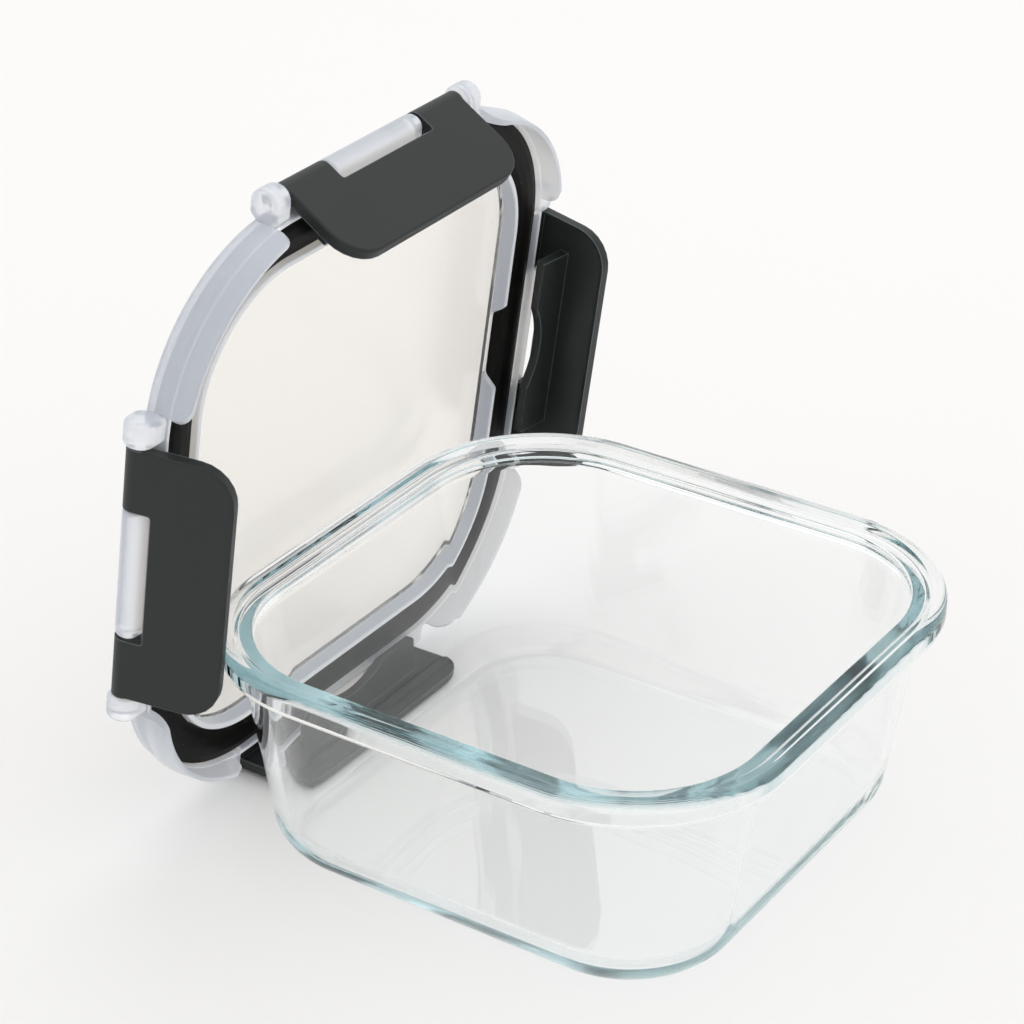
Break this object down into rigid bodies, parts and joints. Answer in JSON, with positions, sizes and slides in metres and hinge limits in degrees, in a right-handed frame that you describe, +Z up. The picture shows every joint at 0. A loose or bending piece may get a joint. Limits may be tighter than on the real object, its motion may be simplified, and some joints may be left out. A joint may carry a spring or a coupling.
{
  "type": "glass food container",
  "caption": "Square glass food container with rounded corners and a stepped rim, its gasketed snap-lock lid off and standing behind it with the locking flaps folded in.",
  "frame": {"origin": "centre of the container's flat base, on the table", "axes": "+Z up out of the container's mouth, +Y from the container towards the standing lid, +X to the right when the lid is behind the container"},
  "size_m": [0.1716, 0.1665, 0.1699],
  "materials": {
    "clear_glass": "clear pressed glass, faint green-blue in its thickness",
    "natural_polypropylene": "milky translucent moulded plastic",
    "silicone": "satin dark silicone",
    "charcoal_plastic": "satin moulded plastic"
  },
  "bodies": {
    "container": {"glass_box": "clear_glass"},
    "lid": {"lid_shell": "natural_polypropylene", "gasket": "silicone"},
    "upper_flap": {"flap_upper": "charcoal_plastic"},
    "left_flap": {"flap_left": "charcoal_plastic"},
    "right_flap": {"flap_right": "charcoal_plastic"},
    "lower_flap": {"flap_lower": "charcoal_plastic"}
  },
  "joints": [
    {"name": "lid_pull_back", "type": "slide", "parent": "container", "child": "lid", "axis": [0, 1, 0], "range_m": [0, 0.12]},
    {"name": "upper_flap_hinge", "type": "hinge", "parent": "lid", "child": "upper_flap", "pos_m": [0.0016, 0.06372, 0.16503], "axis": [1, 0, 0], "range_deg": [-115, 3]},
    {"name": "left_flap_hinge", "type": "hinge", "parent": "lid", "child": "left_flap", "pos_m": [-0.08016, 0.0751, 0.08406], "axis": [0, -0.1392, 0.9903], "range_deg": [-108, 2]},
    {"name": "right_flap_hinge", "type": "hinge", "parent": "lid", "child": "right_flap", "pos_m": [0.08336, 0.0751, 0.08406], "axis": [0, 0.1392, -0.9903], "range_deg": [-96, 14]},
    {"name": "lower_flap_hinge", "type": "hinge", "parent": "lid", "child": "lower_flap", "pos_m": [0.0016, 0.08648, 0.0031], "axis": [-1, 0, 0], "range_deg": [-98, 0]}
  ]
}
